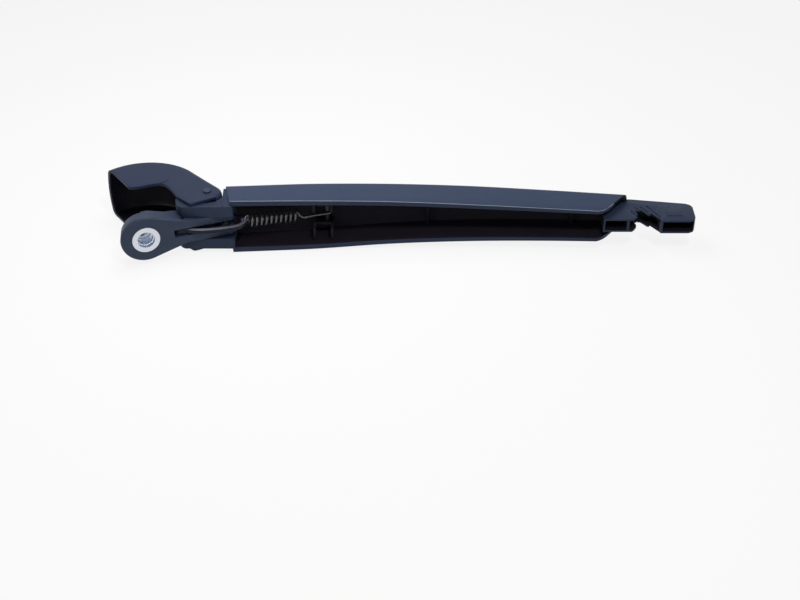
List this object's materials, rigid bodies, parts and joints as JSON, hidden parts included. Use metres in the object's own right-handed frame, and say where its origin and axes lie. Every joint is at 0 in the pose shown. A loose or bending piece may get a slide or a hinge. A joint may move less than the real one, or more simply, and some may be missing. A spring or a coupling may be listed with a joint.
{
  "type": "wiper arm",
  "caption": "Moulded wiper arm with a mounting head on a spindle insert, flip-up cover, fold pin, tension spring with steel link, and a blade connector.",
  "frame": {"origin": "centre of the spindle bore at the underside of the boss", "axes": "+X towards the blade end, +Y along the spindle away from the glass, +Z across the arm"},
  "size_m": [0.288, 0.1409, 0.0319],
  "materials": {
    "arm_plastic": "black moulded plastic with a fine grain",
    "head_plastic": "black glass-filled plastic",
    "cover_plastic": "black moulded plastic with a fine grain",
    "insert_steel": "bright zinc plated steel",
    "bush_bronze": "plain sintered bronze",
    "black_steel": "black coated steel",
    "spring_steel": "dark oiled spring wire",
    "link_steel": "dark stamped steel strip",
    "pin_steel": "plain steel pin"
  },
  "bodies": {
    "head": {"mounting_head": "head_plastic", "spindle_insert": "insert_steel", "pivot_bush": "bush_bronze", "link_pin": "pin_steel"},
    "arm": {"arm_body": "arm_plastic", "fold_pin": "black_steel", "anchor_pin": "pin_steel"},
    "cover": {"cover": "cover_plastic"},
    "spring": {"tension_spring": "spring_steel"},
    "link": {"spring_link": "link_steel"}
  },
  "joints": [
    {"name": "arm_lift", "type": "hinge", "parent": "head", "child": "arm", "pos_m": [0.036, 0.012, 0], "axis": [0, 0, 1], "range_deg": [0, 46]},
    {"name": "cover_flip", "type": "hinge", "parent": "head", "child": "cover", "pos_m": [0.036, 0.012, 0], "axis": [0, 0, 1], "range_deg": [0, 50]},
    {"name": "spring_swing", "type": "hinge", "parent": "arm", "child": "spring", "pos_m": [0.09547, -0.0056, 0], "axis": [0, 0, 1], "range_deg": [-10.4, 0.5]},
    {"name": "spring_stretch", "type": "slide", "parent": "spring", "child": "link", "axis": [-0.9926, 0.1213, 0], "range_m": [-0.0005, 0.0046], "deforming": ["tension_spring"]}
  ],
  "couplings": [
    {"joint": "spring_swing", "follows": "arm_lift", "ratio": -0.21429},
    {"joint": "spring_stretch", "follows": "arm_lift", "m_per_rad": 0.005081}
  ]
}
